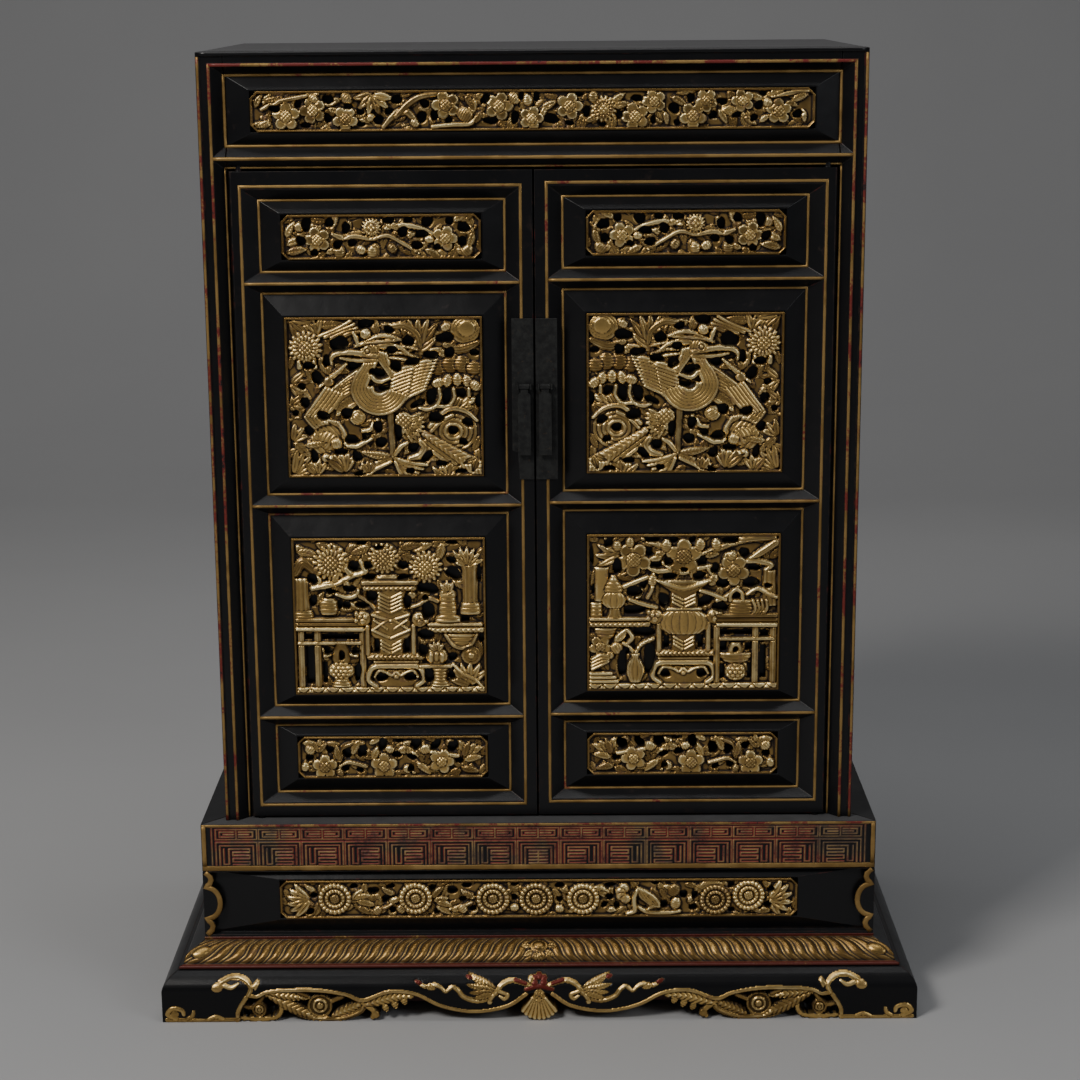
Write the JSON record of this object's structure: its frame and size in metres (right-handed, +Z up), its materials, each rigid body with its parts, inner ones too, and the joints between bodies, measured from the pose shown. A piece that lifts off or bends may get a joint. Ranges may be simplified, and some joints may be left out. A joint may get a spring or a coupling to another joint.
{
  "type": "portable shrine",
  "caption": "Black lacquered shrine cabinet on a moulded base, with hinged doors set with gilt openwork carvings and iron lock plates; hollow and empty.",
  "frame": {"origin": "on the floor under the middle of the base", "axes": "+Z up, +Y to the back, +X to the right as seen from the front"},
  "size_m": [0.5104, 0.2669, 0.6424],
  "materials": {
    "lacquer": "black lacquer, worn",
    "gilt": "gilt wood, dusty in the hollows",
    "red_lacquer": "red lacquer, worn gold lines",
    "iron": "dark iron, patinated"
  },
  "bodies": {
    "cabinet": {"top_board": "lacquer", "side_panel_left": "lacquer", "side_panel_right": "lacquer", "back_panel": "lacquer", "floor_board": "lacquer", "post_left": "lacquer", "post_right": "lacquer", "lintel_rail": "lacquer", "top_rail": "lacquer", "frieze_panel": "lacquer", "fret_band_front": "red_lacquer", "fret_band_left": "lacquer", "fret_band_right": "lacquer", "waist_front": "lacquer", "waist_left": "lacquer", "waist_right": "lacquer", "gadroon_moulding_front": "gilt", "gadroon_moulding_left": "lacquer", "gadroon_moulding_right": "lacquer", "apron_front": "lacquer", "apron_left": "lacquer", "apron_right": "lacquer", "base_top_board": "lacquer", "base_back_board": "lacquer", "inner_board": "lacquer", "frieze_carving": "gilt", "waist_carving": "gilt"},
    "left_door": {"door_left_frame": "lacquer", "door_left_bottom_panel": "lacquer", "door_left_bottom_carving": "gilt", "door_left_vase_panel": "lacquer", "door_left_vase_carving": "gilt", "door_left_bird_panel": "lacquer", "door_left_bird_carving": "gilt", "door_left_top_panel": "lacquer", "door_left_top_carving": "gilt", "lock_plate_left": "iron", "pull_staple_left": "iron"},
    "left_pull": {"pull_left": "iron"},
    "right_door": {"door_right_frame": "lacquer", "door_right_bottom_panel": "lacquer", "door_right_bottom_carving": "gilt", "door_right_vase_panel": "lacquer", "door_right_vase_carving": "gilt", "door_right_bird_panel": "lacquer", "door_right_bird_carving": "gilt", "door_right_top_panel": "lacquer", "door_right_top_carving": "gilt", "lock_plate_right": "iron", "pull_staple_right": "iron"},
    "right_pull": {"pull_right": "iron"}
  },
  "joints": [
    {"name": "left_door_hinge", "type": "hinge", "parent": "cabinet", "child": "left_door", "pos_m": [-0.188, -0.0905, 0.35], "axis": [0, 0, -1], "range_deg": [0, 110]},
    {"name": "left_pull_swing", "type": "hinge", "parent": "left_door", "child": "left_pull", "pos_m": [-0.0068, -0.0979, 0.428], "axis": [-1, 0, 0], "range_deg": [0, 100]},
    {"name": "right_door_hinge", "type": "hinge", "parent": "cabinet", "child": "right_door", "pos_m": [0.188, -0.0905, 0.35], "axis": [0, 0, 1], "range_deg": [0, 110]},
    {"name": "right_pull_swing", "type": "hinge", "parent": "right_door", "child": "right_pull", "pos_m": [0.0068, -0.0979, 0.428], "axis": [-1, 0, 0], "range_deg": [0, 100]}
  ]
}
